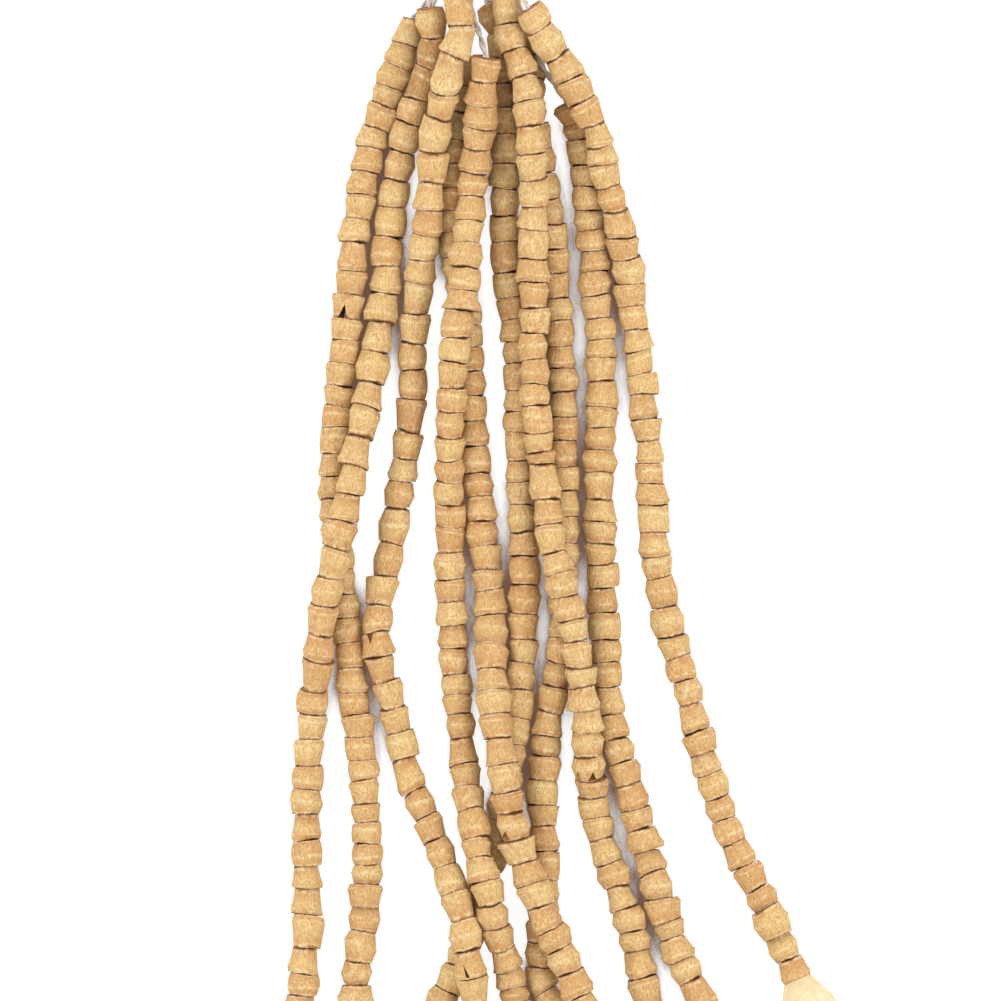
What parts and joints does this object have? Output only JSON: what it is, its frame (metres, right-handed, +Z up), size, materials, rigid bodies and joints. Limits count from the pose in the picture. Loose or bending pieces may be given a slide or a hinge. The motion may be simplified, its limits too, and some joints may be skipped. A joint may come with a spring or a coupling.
{
  "type": "bead tassel",
  "caption": "Tassel of strings of short rough wooden beads on thread, gathered in a bound neck with a hanging loop, each string ending in a larger pale bead, laid out flat.",
  "frame": {"origin": "on the surface that the tassel lies on, below the middle of its bounding box without the hanging loop", "axes": "+Y from the end beads towards the neck and loop, +Z up from the surface, +X to the right with the neck at the top"},
  "size_m": [0.1429, 0.3474, 0.02],
  "materials": {
    "bead_wood": "raw, knife-cut, matte tan wood with rusty and cream patches",
    "pale_wood": "smooth turned pale cream wood, satin",
    "thread": "twisted off-white cotton thread, matte"
  },
  "bodies": {
    "root": {"neck_binding": "thread", "hanging_loop": "thread", "thread_1": "thread", "bead_string_1": "bead_wood", "end_bead_1": "pale_wood", "thread_2": "thread", "bead_string_2": "bead_wood", "end_bead_2": "pale_wood", "thread_3": "thread", "bead_string_3": "bead_wood", "end_bead_3": "pale_wood", "thread_4": "thread", "bead_string_4": "bead_wood", "end_bead_4": "pale_wood", "thread_5": "thread", "bead_string_5": "bead_wood", "end_bead_5": "pale_wood", "thread_6": "thread", "bead_string_6": "bead_wood", "end_bead_6": "pale_wood", "thread_7": "thread", "bead_string_7": "bead_wood", "end_bead_7": "pale_wood", "thread_8": "thread", "bead_string_8": "bead_wood", "end_bead_8": "pale_wood", "thread_9": "thread", "bead_string_9": "bead_wood", "end_bead_9": "pale_wood", "thread_10": "thread", "bead_string_10": "bead_wood", "end_bead_10": "pale_wood"}
  },
  "joints": []
}
